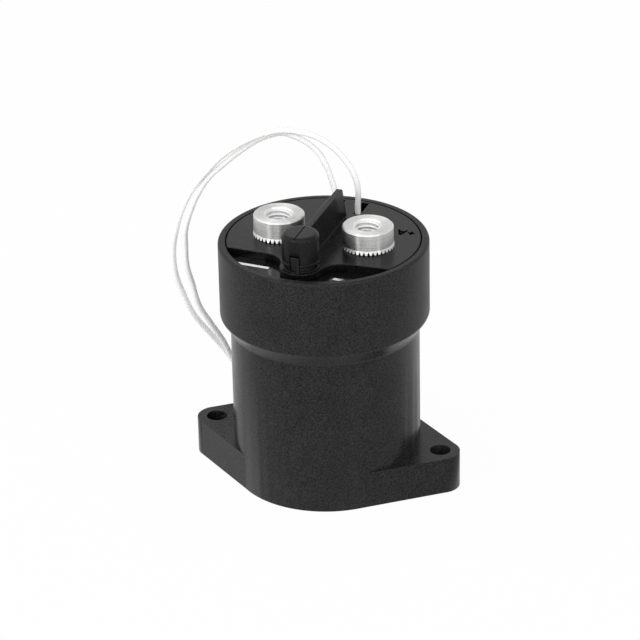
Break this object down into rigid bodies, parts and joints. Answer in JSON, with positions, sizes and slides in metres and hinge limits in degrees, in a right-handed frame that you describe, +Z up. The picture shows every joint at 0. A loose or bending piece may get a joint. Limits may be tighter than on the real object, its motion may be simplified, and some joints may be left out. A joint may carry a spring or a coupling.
{
  "type": "high voltage dc contactor",
  "caption": "Sealed round contactor with threaded power terminals, a barrier wall, white coil leads and a drilled flange, switching high voltage direct current.",
  "frame": {"origin": "on the mounting plane, under the middle of the housing", "axes": "+Z up out of the terminals, X along the mounting ears and the terminals, -Y towards the tube cap"},
  "size_m": [0.1018, 0.093, 0.1079],
  "materials": {
    "housing_plastic": "fine satin, moulded black",
    "cover_plastic": "smooth satin, moulded black",
    "cap_plastic": "satin, moulded black",
    "casting_resin": "glossy black casting resin",
    "terminal_plate": "turned copper with a satin bright plate",
    "steel": "plain steel",
    "magnet": "sintered, dark grey",
    "copper": "bare copper",
    "chamber_ceramic": "alumina, matt white",
    "bobbin_plastic": "natural glass-filled nylon",
    "bump_rubber": "matt",
    "lead_insulation": "smooth white wire insulation"
  },
  "bodies": {
    "contactor": {"housing": "housing_plastic", "top_cover": "cover_plastic", "potting": "casting_resin", "tube_cap": "cap_plastic", "terminal_left": "terminal_plate", "terminal_right": "terminal_plate", "fill_tube": "copper", "arc_chamber": "chamber_ceramic", "weld_ring": "steel", "magnet_left": "magnet", "magnet_right": "magnet", "pole_plate": "steel", "yoke": "steel", "coil_bobbin": "bobbin_plastic", "coil_winding": "copper", "guide_tube": "steel", "fixed_core": "steel", "bump_stop": "bump_rubber", "return_spring": "steel", "lead_tail_left": "lead_insulation", "lead_tail_right": "lead_insulation", "lead_left": "lead_insulation", "lead_right": "lead_insulation", "lead_left_coil": "lead_insulation", "lead_right_coil": "lead_insulation"},
    "plunger_group": {"plunger": "steel", "plunger_shaft": "steel", "spring_seat": "steel", "contact_spring": "steel", "retaining_clip": "steel"},
    "bridge": {"contact_bridge": "copper"}
  },
  "joints": [
    {"name": "plunger_slide", "type": "slide", "parent": "contactor", "child": "plunger_group", "axis": [0, 0, 1], "range_m": [0, 0.0028], "stiffness_N_per_m": 1500, "springref_m": -0.004, "deforming": ["return_spring"]},
    {"name": "contact_overtravel", "type": "slide", "parent": "plunger_group", "child": "bridge", "axis": [0, 0, 1], "range_m": [-0.0006, 0], "deforming": ["contact_spring"]}
  ],
  "couplings": [
    {"joint": "contact_overtravel", "follows": "plunger_slide", "ratio": -0.21429}
  ]
}
